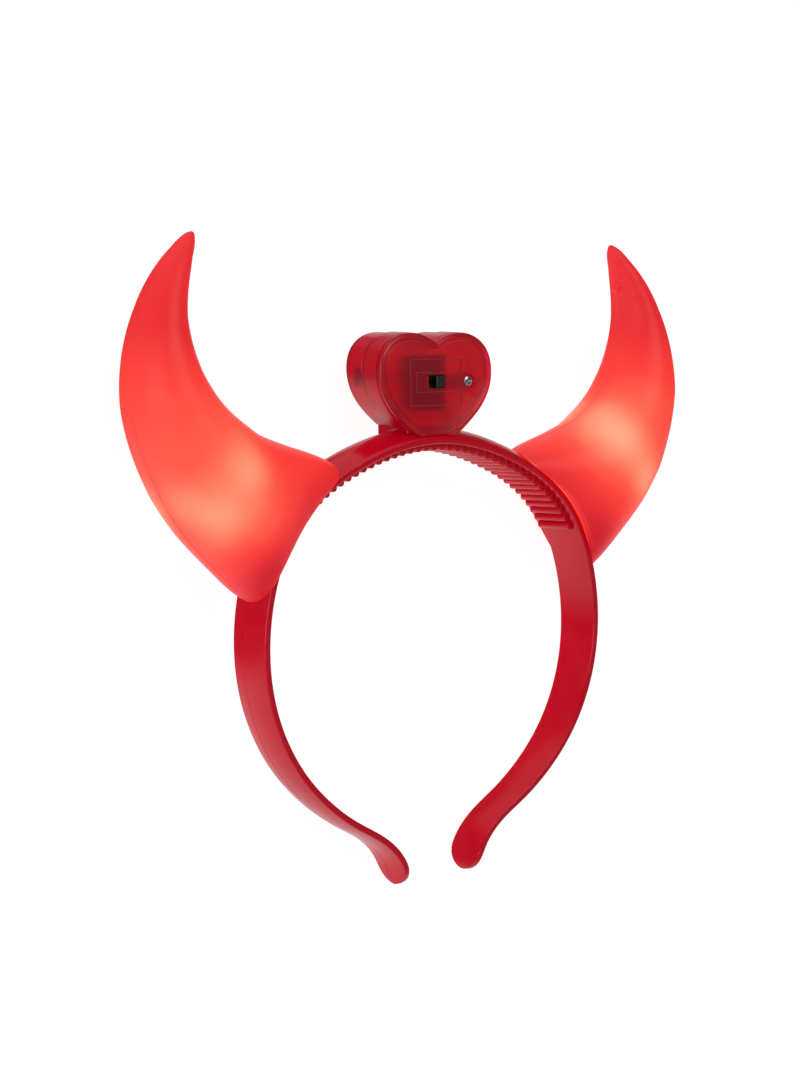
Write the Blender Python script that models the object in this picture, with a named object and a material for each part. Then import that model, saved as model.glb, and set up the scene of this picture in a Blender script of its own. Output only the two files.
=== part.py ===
"""Light-up devil horns headband: ribbed plastic band, two hollow horns, heart-shaped battery box.

Every piece is modelled as worn: +X to the viewer's right, +Y to the back of the head, +Z up.
The empty at the end lays the whole headband on its back, as it rests on a table.
"""
import math

import bmesh
import bpy
import numpy as np
from mathutils import Matrix, Vector

MM = 0.001

# Driving dimensions, in millimetres
GAP = 0.3
BAND_EDGE = 2.0
BAND_WIDTH_TOP = 16.8
BAND_WIDTH_ARM = 15.0
BAND_WIDTH_TIP = 13.6
BAND_CROWN_TOP = 3.2
BAND_CROWN_ARM = 0.8
TIP_ROUND = 6.8
BAND_STATIONS = 84
# The right half of the band's outer edge line, from the top of the head to the tip
BAND_OUTLINE = [(0.0, 85.3), (28.9, 79.4), (53.4, 63.6), (64.8, 37.4), (63.9, 11.3), (54.1, -9.5),
                (43.0, -21.2), (33.2, -28.2), (24.4, -33.4), (19.0, -38.0), (15.9, -42.8), (14.6, -48.4)]

RIB_PITCH = 3.2
RIB_COUNT = 43
RIB_HEIGHT = 1.6
RIB_FLOOR = 0.4
RIB_FRONT_Y = -5.8
RIB_BACK_Y = 7.9

HORN_WALL = 1.4
# The horn's axis in the worn XZ plane with its half depth in that plane and front to back,
# from inside the mouth to the tip
HORN_AXIS = [(48.8, 58.4), (67.7, 69.3), (80.8, 80.9), (91.4, 99.1), (92.2, 122.0), (84.8, 138.6),
             (81.0, 144.0)]
HORN_HALF_WIDTH = [26.3, 20.0, 16.5, 11.9, 6.7, 3.1, 0.7]
HORN_HALF_DEPTH = [15.1, 18.5, 18.1, 14.7, 9.1, 3.9, 0.7]
HORN_FREE_END = 0.24
MOUTH_ARC_START = 23.5
MOUTH_ARC_END = 57.5
MOUTH_HALF_DEPTH = 11.4
MOUTH_DROP = 0.7
MOUTH_SQUARENESS = 0.78
SHOULDER_RISE = 1.3
SHOULDER_PLACE = 0.1
NUB_RADIUS = 2.0
NUB_RISE = 1.3
NUB_PLACE = 0.767

# The right half of the heart's outline, from the notch over the lobe to the point
HEART_OUTLINE = [(0.0, 113.4), (3.6, 115.2), (9.5, 116.3), (16.0, 114.9), (20.7, 110.4), (21.9, 105.0),
                 (21.1, 100.0), (18.2, 94.8), (13.6, 90.2), (7.4, 85.6), (0.0, 81.4)]
HEART_TRIM_Z = 84.5
HEART_NOTCH_X = 0.25
HEART_LEAN = 0.07
HEART_FRONT_Y = -8.0
HEART_FRONT_SEAM_Y = -6.0
HEART_BACK_SEAM_Y = 1.2
HEART_BACK_Y = 9.6
HEART_WALL = 1.6
SEAM_BEVEL = 0.35
COVER_RIM = 1.8
COVER_RECESS = 0.35
COVER_FACE = 1.3
COVER_EDGE = 1.1
BACK_EDGE = 1.5
BACK_STEP = 0.4
BOSS_RADIUS = 3.1
CUP_FLOOR_Z = 91.0
FOOT_HALF_WIDTH = 10.2
FOOT_TOP_Z = 90.4
FOOT_BACK_Y = 8.5

SWITCH_Z = 101.8
SLOT_WIDTH = 6.8
SLOT_HEIGHT = 3.9
KNOB_WIDTH = 3.4
KNOB_HEIGHT = 3.3
KNOB_REST_X = 1.4
KNOB_FRONT_Y = -7.9
KNOB_SERRATIONS = 6
SWITCH_HALF = (4.4, 2.4)
SWITCH_FRONT_Y = -6.05
SWITCH_BACK_Y = -2.6
SCREW_X = 12.6
SCREW_HEAD_RADIUS = 1.75
SCREW_SHANK_RADIUS = 1.0
SCREW_END_Y = 2.0
SCREW_POST_RADIUS = 2.6
CROSS_HALF_LENGTH = 1.15
CROSS_HALF_WIDTH = 0.24
CROSS_DEPTH = 0.6
WEB_REACH = 8.0
HOLDER_LOW = (-4.2, -0.1, 92.6)
HOLDER_HIGH = (9.3, 7.7, 110.6)
STRIP_LOW = (-18.6, 5.6, 102.9)
STRIP_HIGH = (-4.0, 6.8, 103.9)
CONTACT_LOW = (-19.0, 4.4, 101.0)
CONTACT_HIGH = (-18.2, 7.6, 106.2)

SHARP_ANGLE = 35.0
REST_TILT = 5.6


def material(name, colour, roughness, metallic=0.0):
    """A Principled material in the part's own colour."""
    mat = bpy.data.materials.new(name)
    mat.use_nodes = True
    shader = mat.node_tree.nodes["Principled BSDF"]
    shader.inputs["Base Color"].default_value = (*colour, 1.0)
    shader.inputs["Roughness"].default_value = roughness
    shader.inputs["Metallic"].default_value = metallic
    mat.diffuse_color = (*colour, 1.0)
    return mat


def spline(points, parameters, samples):
    """Natural cubic curve through the points, read at the samples."""
    t = np.asarray(parameters, float)
    y = np.asarray(points, float)
    h = np.diff(t)
    n = len(t)
    rows = np.eye(n)
    right = np.zeros_like(y)
    for i in range(1, n - 1):
        rows[i, i - 1] = h[i - 1]
        rows[i, i] = 2 * (h[i - 1] + h[i])
        rows[i, i + 1] = h[i]
        right[i] = 6 * ((y[i + 1] - y[i]) / h[i] - (y[i] - y[i - 1]) / h[i - 1])
    bend = np.linalg.solve(rows, right)
    k = np.clip(np.searchsorted(t, samples, side="right") - 1, 0, n - 2)
    a = ((t[k + 1] - samples) / h[k])[:, None]
    b = ((samples - t[k]) / h[k])[:, None]
    scale = (h[k] ** 2 / 6)[:, None]
    return a * y[k] + b * y[k + 1] + ((a ** 3 - a) * bend[k] + (b ** 3 - b) * bend[k + 1]) * scale


def band_line():
    """The band's edge line from the left tip over the top to the right tip, with its arc length."""
    right = np.array(BAND_OUTLINE)
    left = right[:0:-1] * (-1, 1)
    points = np.vstack([left, right])
    steps = np.hypot(*np.diff(points, axis=0).T)
    knots = np.concatenate([[0.0], np.cumsum(steps)])
    fine = spline(points, knots, np.linspace(0, knots[-1], 4000))
    lengths = np.concatenate([[0.0], np.cumsum(np.hypot(*np.diff(fine, axis=0).T))])
    return fine, lengths - lengths[-1] / 2


LINE, LINE_LENGTH = band_line()
ARM_LENGTH = LINE_LENGTH[-1]


def band_point(s):
    """Edge line point and outward normal at arc length s from the top of the head."""
    x = np.interp(s, LINE_LENGTH, LINE[:, 0])
    z = np.interp(s, LINE_LENGTH, LINE[:, 1])
    ahead = np.array([np.interp(s + 0.5, LINE_LENGTH, LINE[:, k]) for k in (0, 1)])
    behind = np.array([np.interp(s - 0.5, LINE_LENGTH, LINE[:, k]) for k in (0, 1)])
    tangent = (ahead - behind) / np.hypot(*(ahead - behind))
    return np.array([x, z]), np.array([-tangent[1], tangent[0]])


def band_width(s):
    """Width of the band front to back, with the round end of the tip."""
    along = abs(s) / ARM_LENGTH
    widths = [BAND_WIDTH_TOP, BAND_WIDTH_TOP, BAND_WIDTH_ARM, BAND_WIDTH_TIP]
    width = np.interp(along, [0, 0.3, 0.62, 0.9], widths)
    into_tip = max(0.0, abs(s) - (ARM_LENGTH - TIP_ROUND)) / TIP_ROUND
    return width * math.sqrt(1 - into_tip ** 2)


def band_crown(s):
    """Rise of the outer face above the edge line."""
    rises = [BAND_CROWN_TOP, BAND_CROWN_TOP, BAND_CROWN_ARM, BAND_CROWN_ARM, 0.1]
    return float(np.interp(abs(s) / ARM_LENGTH, [0, 0.2, 0.45, 0.9, 1], rises))


def at(s, y, rise):
    """Worn position, in metres, of a point of the band at arc length s."""
    point, normal = band_point(s)
    x, z = point + normal * rise
    return Vector((x, y, z)) * MM


def loft(name, rings, mat):
    """Closed body through rings of points, capped at both ends."""
    bm = bmesh.new()
    loops = [[bm.verts.new(p) for p in ring] for ring in rings]
    walls(bm, loops)
    bm.faces.new(loops[0][::-1])
    bm.faces.new(loops[-1])
    bmesh.ops.recalc_face_normals(bm, faces=bm.faces[:])
    return finish(name, bm, mat)


def walls(bm, rings):
    """Side faces between successive rings."""
    for a, b in zip(rings, rings[1:]):
        for k in range(len(a)):
            j = (k + 1) % len(a)
            bm.faces.new((a[k], a[j], b[j], b[k]))


def cup(name, outer, inner, mat):
    """Shell with an open mouth: both lists of rings start at its rim and end at its closed end."""
    bm = bmesh.new()
    outer = [[bm.verts.new(p) for p in ring] for ring in outer]
    inner = [[bm.verts.new(p) for p in ring] for ring in inner]
    walls(bm, [inner[0], outer[0]])
    for rings in (outer, inner):
        walls(bm, rings)
        bm.faces.new(rings[-1])
    bmesh.ops.recalc_face_normals(bm, faces=bm.faces[:])
    return finish(name, bm, mat)


def tube(name, outer, inner, mat):
    """Shell that is open at both ends."""
    bm = bmesh.new()
    outer = [[bm.verts.new(p) for p in ring] for ring in outer]
    inner = [[bm.verts.new(p) for p in ring] for ring in inner]
    walls(bm, outer)
    walls(bm, inner)
    walls(bm, [inner[0], outer[0]])
    walls(bm, [inner[-1], outer[-1]])
    bmesh.ops.recalc_face_normals(bm, faces=bm.faces[:])
    return finish(name, bm, mat)


def finish(name, bm, mat):
    """Object from a bmesh."""
    mesh = bpy.data.meshes.new(name)
    bm.to_mesh(mesh)
    bm.free()
    mesh.materials.append(mat)
    mesh.shade_smooth()
    obj = bpy.data.objects.new(name, mesh)
    bpy.context.scene.collection.objects.link(obj)
    return obj


def boolean(obj, cutter, operation):
    """Adds a Boolean and hides its other body."""
    modifier = obj.modifiers.new(operation.lower(), "BOOLEAN")
    modifier.operation = operation
    modifier.object = cutter
    modifier.solver = "EXACT"
    cutter.hide_render = True
    cutter.display_type = "WIRE"


def apply_cuts(pieces):
    """Makes each piece's Booleans final, shades round surfaces smooth and removes the cutters."""
    view = bpy.context.evaluated_depsgraph_get()
    for obj in pieces:
        mesh = bpy.data.meshes.new_from_object(obj.evaluated_get(view))
        mesh.set_sharp_from_angle(angle=math.radians(SHARP_ANGLE))
        obj.modifiers.clear()
        obj.data = mesh
    for obj in list(bpy.data.objects):
        if obj.hide_render:
            bpy.data.objects.remove(obj, do_unlink=True)


def box(name, low, high, mat):
    """Axis-aligned box between two corners in millimetres."""
    bm = bmesh.new()
    bmesh.ops.create_cube(bm, size=1.0)
    size = [(b - a) * MM for a, b in zip(low, high)]
    centre = [(a + b) / 2 * MM for a, b in zip(low, high)]
    bmesh.ops.scale(bm, vec=size, verts=bm.verts[:])
    bmesh.ops.translate(bm, vec=centre, verts=bm.verts[:])
    return finish(name, bm, mat)


def cylinder(name, centre, radius, ends, mat, sides=28):
    """Cylinder along the worn Y axis, about a centre in the XZ plane, between its front and back ends."""
    x, z = centre
    y_front, y_back = ends
    bm = bmesh.new()
    turn = Matrix.Rotation(math.radians(90), 4, "X")
    place = Matrix.Translation(Vector((x, (y_front + y_back) / 2, z)) * MM)
    bmesh.ops.create_cone(bm, cap_ends=True, segments=sides, radius1=radius * MM, radius2=radius * MM,
                          depth=(y_back - y_front) * MM, matrix=place @ turn)
    return finish(name, bm, mat)


# Band

def band_body(name, grow, mat, stations=BAND_STATIONS):
    """The band's strip; grow swells it on every side for the cutters."""
    rings = []
    tip = [ARM_LENGTH - TIP_ROUND * (1 - math.sin(math.radians(a))) for a in (0, 18, 36, 50, 62, 72, 81)]
    arm = list(np.linspace(0, tip[0] - 4, stations // 2))[1:] + tip
    for s in [-a for a in reversed(arm)] + [0.0] + arm:
        half = band_width(s) / 2 + grow
        crown = band_crown(s)
        bevel = min(0.4, half / 3)
        ring = [(-half, -BAND_EDGE - grow + bevel), (-half, -bevel)]
        for u in np.linspace(-1, 1, 9):
            ring.append((u * (half - bevel * 0.7), crown * (1 - u * u) + grow))
        ring += [(half, -bevel), (half, -BAND_EDGE - grow + bevel)]
        ring += [(half - bevel, -BAND_EDGE - grow), (-half + bevel, -BAND_EDGE - grow)]
        rings.append([at(s, y, rise) for y, rise in ring])
    return loft(name, rings, mat)


def rib_depth(phase):
    """Half-round tooth over one pitch."""
    across = min(1.0, abs(2 * phase - 1) / 0.82)
    return RIB_FLOOR + RIB_HEIGHT * math.sqrt(1 - across ** 2)


def comb_body(name, mat):
    """Row of half-round teeth across the inner face."""
    rings = []
    length = RIB_PITCH * RIB_COUNT
    phases = [0.0, 0.09, 0.16, 0.3, 0.5, 0.7, 0.84, 0.91]
    places = [(k + p) * RIB_PITCH - length / 2 for k in range(RIB_COUNT) for p in phases]
    depths = [rib_depth(p) for k in range(RIB_COUNT) for p in phases]
    for s, depth in zip(places, depths):
        root = -BAND_EDGE + 0.6
        crest = -BAND_EDGE - depth
        ring = [(RIB_FRONT_Y, root), (RIB_BACK_Y, root), (RIB_BACK_Y, crest), (RIB_FRONT_Y, crest)]
        rings.append([at(s, y, rise) for y, rise in ring])
    return loft(name, rings, mat)


# Horns

def horn_ring(v, side, shrink, sides):
    """One ring of the horn; v runs from the mouth's rim at 0 to the tip at 1."""
    knots = np.linspace(0, 1, len(HORN_AXIS))
    axis, ahead, behind = spline(HORN_AXIS, knots, np.array([v, v + 0.01, v - 0.01]))
    across = np.array([(ahead - behind)[1], -(ahead - behind)[0]]) / np.hypot(*(ahead - behind))
    half_width = float(np.interp(v, knots, HORN_HALF_WIDTH)) - shrink
    half_depth = float(np.interp(v, knots, HORN_HALF_DEPTH)) - shrink
    half_width += SHOULDER_RISE * math.exp(-((v - SHOULDER_PLACE) / 0.07) ** 2)
    free = min(1.0, v / HORN_FREE_END)
    free = free * free * (3 - 2 * free)
    ring = []
    for k in range(sides):
        angle = 2 * math.pi * k / sides
        c = math.cos(angle)
        d = math.sin(angle)
        x, z = axis + across * half_width * c
        free_point = np.array([x, half_depth * d, z])
        point = free_point * free + mouth_point(c, d, shrink) * (1 - free)
        ring.append(Vector((side * point[0], point[1], point[2])) * MM)
    return ring


def arc_at(angle):
    """Arc length at which the band stands at this many degrees from the top of the head."""
    rightward = LINE_LENGTH >= 0
    bearing = np.degrees(np.arctan2(LINE[rightward, 0], LINE[rightward, 1]))
    return float(np.interp(angle, bearing, LINE_LENGTH[rightward]))


def mouth_point(c, d, shrink):
    """Point of the mouth's rim: its ends lie in the band's thickness, its cheeks reach down its sides."""
    along = math.copysign(abs(c) ** MOUTH_SQUARENESS, c)
    sideways = math.copysign(abs(d) ** MOUTH_SQUARENESS, d)
    start = arc_at(MOUTH_ARC_START) + shrink
    end = arc_at(MOUTH_ARC_END) - shrink
    rise = -MOUTH_DROP * (1 - along * along)
    point, normal = band_point(start + (end - start) * (0.5 + 0.5 * along))
    x, z = point + normal * rise
    return np.array([x, (MOUTH_HALF_DEPTH - shrink) * sideways, z])


def horn_body(name, side, mat, sides=28):
    """Hollow horn shell, open at the mouth."""
    outer_places = [0, 0.04, 0.08, 0.12, 0.16, 0.2, 0.25, 0.31, 0.37, 0.43, 0.5, 0.57, 0.64, 0.71, 0.78, 0.84,
                    0.9, 0.95, 0.98, 1.0]
    inner_places = [0, 0.06, 0.12, 0.18, 0.26, 0.36, 0.46, 0.56, 0.66, 0.76, 0.82]
    outer = [horn_ring(v, side, 0.0, sides) for v in outer_places]
    inner = [horn_ring(v, side, HORN_WALL, sides) for v in inner_places]
    return cup(name, outer, inner, mat)


def horn_nub(name, side, mat):
    """Low round mould mark below the tip, on the edge that faces the other horn."""
    knots = np.linspace(0, 1, len(HORN_AXIS))
    axis, ahead, behind = spline(HORN_AXIS, knots, np.array([NUB_PLACE, NUB_PLACE + 0.01, NUB_PLACE - 0.01]))
    across = np.array([(ahead - behind)[1], -(ahead - behind)[0]]) / np.hypot(*(ahead - behind))
    half_width = float(np.interp(NUB_PLACE, knots, HORN_HALF_WIDTH))
    x, z = axis - across * half_width
    bm = bmesh.new()
    low = Matrix.Diagonal((NUB_RISE / NUB_RADIUS, 1.0, 1.0, 1.0))
    bmesh.ops.create_icosphere(bm, subdivisions=2, radius=NUB_RADIUS * MM,
                               matrix=Matrix.Translation(Vector((side * x, 0, z)) * MM) @ low)
    return finish(name, bm, mat)


# Heart box

def heart_outline(inset, floor, lift, sides=22):
    """Heart outline in the worn XZ plane, moved in by inset and up by lift, no lower than the floor."""
    knots = np.concatenate([[0.0], np.cumsum(np.hypot(*np.diff(HEART_OUTLINE, axis=0).T))])
    line = spline(HEART_OUTLINE, knots, np.linspace(0, knots[-1], 400))
    along = np.gradient(line, axis=0)
    along /= np.hypot(*along.T)[:, None]
    moved = line + inset * np.column_stack([along[:, 1], -along[:, 0]])
    last = np.flatnonzero(line[:, 1] > HEART_TRIM_Z)[-1]
    picks = np.linspace(0, last, sides).round().astype(int)
    right = [(max(x, HEART_NOTCH_X), max(z + lift, floor)) for x, z in moved[picks]]
    left = [(-x, z) for x, z in reversed(right)]
    return right + left


def heart_ring(y, inset=0.0, floor=0.0):
    """Heart outline at one depth of the box, which leans up a little towards its back."""
    lift = HEART_LEAN * (y - HEART_FRONT_Y)
    return [Vector((x, y, z)) * MM for x, z in heart_outline(inset, floor, lift)]


def rounded_edge(y_face, y_side, size, inset=0.0):
    """Rings that round the box's edge from its side to its face."""
    turn = [math.radians(a) for a in (0, 30, 60, 90)]
    direction = math.copysign(1.0, y_face - y_side)
    return [heart_ring(y_face - direction * size * (1 - math.sin(a)), inset + size * (1 - math.cos(a)))
            for a in turn]


def heart_front_body(name, mat, band_cutter):
    """Front cover: round raised rim, flat face set back in it, hollow behind."""
    face = HEART_FRONT_Y + COVER_RECESS
    outer = [heart_ring(HEART_FRONT_SEAM_Y)]
    outer += rounded_edge(HEART_FRONT_Y, HEART_FRONT_SEAM_Y, COVER_EDGE)
    outer += [heart_ring(HEART_FRONT_Y + 0.15, COVER_RIM), heart_ring(face, COVER_RIM + 0.2)]
    inner = [heart_ring(y, HEART_WALL, CUP_FLOOR_Z) for y in (HEART_FRONT_SEAM_Y, face + COVER_FACE)]
    cover = cup(name, outer, inner, mat)
    screw_centre = (SCREW_X, SWITCH_Z)
    boss = cylinder("boss", screw_centre, BOSS_RADIUS, (face + 0.5, HEART_FRONT_SEAM_Y), mat)
    sink = cylinder("sink", screw_centre, SCREW_HEAD_RADIUS + 0.35, (face - 1, face + 1.25), mat)
    hole = cylinder("hole", screw_centre, SCREW_SHANK_RADIUS + GAP, (face, HEART_FRONT_SEAM_Y + 1), mat)
    slot = box("slot", (-SLOT_WIDTH / 2, face - 1, SWITCH_Z - SLOT_HEIGHT / 2),
               (SLOT_WIDTH / 2, face + COVER_FACE + 0.5, SWITCH_Z + SLOT_HEIGHT / 2), mat)
    boolean(cover, boss, "UNION")
    for cutter in (sink, hole, slot, band_cutter):
        boolean(cover, cutter, "DIFFERENCE")
    return cover


def heart_middle_body(name, mat, band_cutter):
    """Middle shell with the foot on the band and the screw's post."""
    front = HEART_FRONT_SEAM_Y + GAP
    back = HEART_BACK_SEAM_Y - GAP
    outer = [heart_ring(front, SEAM_BEVEL), heart_ring(front + SEAM_BEVEL)]
    outer += [heart_ring(back - SEAM_BEVEL), heart_ring(back, SEAM_BEVEL)]
    inner = [heart_ring(y, HEART_WALL, CUP_FLOOR_Z) for y in (front, back)]
    middle = tube(name, outer, inner, mat)
    foot = box("foot", (-FOOT_HALF_WIDTH, front + 0.2, HEART_TRIM_Z),
               (FOOT_HALF_WIDTH, FOOT_BACK_Y, FOOT_TOP_Z), mat)
    screw_centre = (SCREW_X, SWITCH_Z)
    post = cylinder("post", screw_centre, SCREW_POST_RADIUS, (front + 0.1, SCREW_END_Y + 1.5), mat)
    web = box("web", (SCREW_X, front + 0.6, SWITCH_Z - 0.8),
              (SCREW_X + WEB_REACH, back, SWITCH_Z + 0.8), mat)
    bore = cylinder("bore", screw_centre, SCREW_SHANK_RADIUS + GAP, (front - 1, SCREW_END_Y + 0.4), mat)
    for body in (foot, post, web):
        boolean(middle, body, "UNION")
    for cutter in (bore, band_cutter):
        boolean(middle, cutter, "DIFFERENCE")
    return middle


def heart_back_body(name, mat, band_cutter):
    """Rear shell, a little smaller than the middle one and notched over the foot."""
    outer = [heart_ring(HEART_BACK_SEAM_Y, BACK_STEP)]
    outer += rounded_edge(HEART_BACK_Y, HEART_BACK_SEAM_Y, BACK_EDGE, BACK_STEP)
    floor = FOOT_TOP_Z + GAP + HEART_WALL
    inner = [heart_ring(y, HEART_WALL, floor) for y in (HEART_BACK_SEAM_Y, HEART_BACK_Y - HEART_WALL)]
    shell = cup(name, outer, inner, mat)
    room = FOOT_HALF_WIDTH + GAP
    foot_clearance = box("foot_clearance", (-room, HEART_BACK_SEAM_Y - 1, HEART_TRIM_Z - 3),
                         (room, HEART_BACK_Y + 1, FOOT_TOP_Z + GAP), mat)
    boolean(shell, foot_clearance, "DIFFERENCE")
    boolean(shell, band_cutter, "DIFFERENCE")
    return shell


def screw_body(name, mat):
    """Pan head with a cross recess and a plain shank."""
    face = HEART_FRONT_Y + COVER_RECESS
    profile = [(1.1, face + 0.05), (1.5, face + 0.12), (SCREW_HEAD_RADIUS, face + 0.4),
               (SCREW_HEAD_RADIUS, face + 0.95), (SCREW_SHANK_RADIUS, face + 0.95),
               (SCREW_SHANK_RADIUS, SCREW_END_Y)]
    sides = 24
    turns = [2 * math.pi * k / sides for k in range(sides)]
    centre = Vector((SCREW_X, 0, SWITCH_Z))
    rings = []
    for radius, y in profile:
        rings.append([(centre + Vector((radius * math.cos(a), y, radius * math.sin(a)))) * MM for a in turns])
    screw = loft(name, rings, mat)
    for tag, half_x, half_z in (("slot_across", CROSS_HALF_LENGTH, CROSS_HALF_WIDTH),
                                ("slot_down", CROSS_HALF_WIDTH, CROSS_HALF_LENGTH)):
        cutter = box(tag, (SCREW_X - half_x, face - 1, SWITCH_Z - half_z),
                     (SCREW_X + half_x, face + CROSS_DEPTH, SWITCH_Z + half_z), mat)
        boolean(screw, cutter, "DIFFERENCE")
    return screw


def switch_housing_body(name, mat):
    """Slide switch housing behind the cover, with the T groove that keeps the knob."""
    half_x, half_z = SWITCH_HALF
    housing = box(name, (-half_x, SWITCH_FRONT_Y, SWITCH_Z - half_z),
                  (half_x, SWITCH_BACK_Y, SWITCH_Z + half_z), mat)
    groove = box("groove", (-SLOT_WIDTH / 2, SWITCH_FRONT_Y - 1, SWITCH_Z - 0.8),
                 (SLOT_WIDTH / 2, SWITCH_FRONT_Y + 1.2, SWITCH_Z + 0.8), mat)
    keep = box("keep", (-SLOT_WIDTH / 2, SWITCH_FRONT_Y + 0.7, SWITCH_Z - 1.4),
               (SLOT_WIDTH / 2, SWITCH_FRONT_Y + 2.2, SWITCH_Z + 1.4), mat)
    for cutter in (groove, keep):
        boolean(housing, cutter, "DIFFERENCE")
    return housing


def knob_body(name, mat):
    """Sliding knob: serrated front, stem and foot in the housing's groove."""
    half = KNOB_WIDTH / 2
    back = SWITCH_FRONT_Y - GAP
    step = KNOB_WIDTH / KNOB_SERRATIONS
    outline = [(half, back), (-half, back)]
    for k in range(KNOB_SERRATIONS):
        outline.append((-half + step * (k + 0.12), KNOB_FRONT_Y + 0.35))
        outline.append((-half + step * (k + 0.5), KNOB_FRONT_Y))
        outline.append((-half + step * (k + 0.88), KNOB_FRONT_Y + 0.35))
    rings = [[Vector((x, y, SWITCH_Z + side * KNOB_HEIGHT / 2)) * MM for x, y in outline] for side in (-1, 1)]
    knob = loft(name, rings, mat)
    stem = box("stem", (-1.0, back - 0.4, SWITCH_Z - 0.5), (1.0, SWITCH_FRONT_Y + 1.6, SWITCH_Z + 0.5), mat)
    foot = box("knob_foot", (-1.0, SWITCH_FRONT_Y + 1.05, SWITCH_Z - 1.1),
               (1.0, SWITCH_FRONT_Y + 1.85, SWITCH_Z + 1.1), mat)
    boolean(knob, stem, "UNION")
    boolean(knob, foot, "UNION")
    return knob


def holder_body(name, mat):
    """Battery holder with a strip that carries a contact plate by the left wall."""
    holder = box(name, HOLDER_LOW, HOLDER_HIGH, mat)
    boolean(holder, box("strip", STRIP_LOW, STRIP_HIGH, mat), "UNION")
    boolean(holder, box("contact", CONTACT_LOW, CONTACT_HIGH, mat), "UNION")
    return holder


def main():
    """Builds the headband and lays it on its back."""
    for obj in list(bpy.data.objects):
        bpy.data.objects.remove(obj, do_unlink=True)

    red = material("glossy red plastic", (0.52, 0.004, 0.018), 0.16)
    horn_red = material("frosted red plastic", (0.85, 0.05, 0.04), 0.42)
    black = material("black plastic", (0.01, 0.01, 0.011), 0.4)
    steel = material("screw steel", (0.62, 0.6, 0.58), 0.25, 1.0)

    band = band_body("band", 0.0, red)
    boolean(band, comb_body("comb", red), "UNION")
    band_cutter = band_body("band_clearance", GAP, red, stations=60)

    left = horn_body("horn_left", -1, horn_red)
    right = horn_body("horn_right", 1, horn_red)
    boolean(left, band_cutter, "DIFFERENCE")
    boolean(right, horn_nub("nub", 1, horn_red), "UNION")
    boolean(right, band_cutter, "DIFFERENCE")

    pieces = [
        band, left, right,
        heart_front_body("heart_front", red, band_cutter),
        heart_middle_body("heart_body", red, band_cutter),
        heart_back_body("heart_back", red, band_cutter),
        screw_body("cover_screw", steel),
        switch_housing_body("switch_housing", black),
        knob_body("switch_knob", black),
        holder_body("battery_holder", black),
    ]

    apply_cuts(pieces)
    knob = bpy.data.objects["switch_knob"]
    knob.data.transform(Matrix.Translation(-Vector((0, KNOB_FRONT_Y, SWITCH_Z)) * MM))
    knob.location = Vector((KNOB_REST_X, KNOB_FRONT_Y, SWITCH_Z)) * MM

    rest = bpy.data.objects.new("rest", None)
    bpy.context.scene.collection.objects.link(rest)
    for obj in pieces:
        obj.parent = rest
    rest.rotation_euler.x = math.radians(REST_TILT - 90)
    bpy.context.view_layer.update()

    corners = np.array([obj.matrix_world @ v.co for obj in pieces for v in obj.data.vertices])
    low = corners.min(axis=0)
    high = corners.max(axis=0)
    rest.location = (-(low[0] + high[0]) / 2, -(low[1] + high[1]) / 2, -low[2])
    bpy.context.view_layer.update()


main()
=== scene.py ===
# %% [markdown]
# # A light-up devil horns headband
# The real thing is a springy strip of clear red plastic that goes over the head. Two hollow horns of
# frosted plastic straddle it and glow from lamps inside, and a heart-shaped box on top holds the cells and
# the switch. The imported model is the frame: each new piece is drawn where that model says it is, only
# smoother and finer.

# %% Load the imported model
import math

import bmesh
import bpy
import numpy as np
from mathutils import Matrix, Vector


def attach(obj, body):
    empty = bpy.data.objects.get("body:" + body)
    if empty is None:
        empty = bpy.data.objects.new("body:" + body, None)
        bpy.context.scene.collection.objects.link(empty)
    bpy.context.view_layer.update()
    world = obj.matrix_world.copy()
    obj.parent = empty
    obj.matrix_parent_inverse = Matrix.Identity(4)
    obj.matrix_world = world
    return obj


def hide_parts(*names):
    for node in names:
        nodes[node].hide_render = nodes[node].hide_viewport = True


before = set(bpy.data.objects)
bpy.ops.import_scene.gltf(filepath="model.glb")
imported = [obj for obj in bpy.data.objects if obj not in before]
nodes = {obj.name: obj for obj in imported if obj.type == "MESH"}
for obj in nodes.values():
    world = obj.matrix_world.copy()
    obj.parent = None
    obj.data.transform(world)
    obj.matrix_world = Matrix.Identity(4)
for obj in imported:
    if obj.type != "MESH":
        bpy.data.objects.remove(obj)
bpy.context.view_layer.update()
print("frame nodes:", ", ".join(sorted(nodes)))

# %% [markdown]
# A headband is easiest to draw as it is worn: X to the viewer's right, Y to the back of the head and Z up,
# in millimetres. The model lies on its back on a table, so one matrix lays every finished mesh down beside
# it. Doing this once, in the mesh and not in the object, keeps patterns on Object coordinates where they
# belong.

# %% From worn millimetres to the table
MM = 0.001
REST_TILT = 5.6
REST_PLACE = Vector((0.0, -0.0477984, 0.0109293))
LIE_DOWN = Matrix.Translation(REST_PLACE) @ Matrix.Rotation(math.radians(REST_TILT - 90), 4, "X")
TO_TABLE = LIE_DOWN @ Matrix.Scale(MM, 4)
print("top of the band on the table:", [round(v, 4) for v in TO_TABLE @ Vector((0, 0, 85.3))])

# %% [markdown]
# The photograph fixes the camera before anything else. A long lens far from the object keeps the two horns
# nearly the same size. The camera is also given as the headband is worn, then laid down with it, so the
# band stands upright in the picture although it lies on the floor.

# %% Camera
VIEW_TURN = 0.6924059
VIEW_RISE = 0.0752983
VIEW_ROLL = -0.0218768
VIEW_DISTANCE = 645.4017
LENS_PIXELS = 2162.414
PICTURE_HEIGHT = 1091
AIM = Vector((-9.464682, 0.0, 53.284661))


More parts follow.
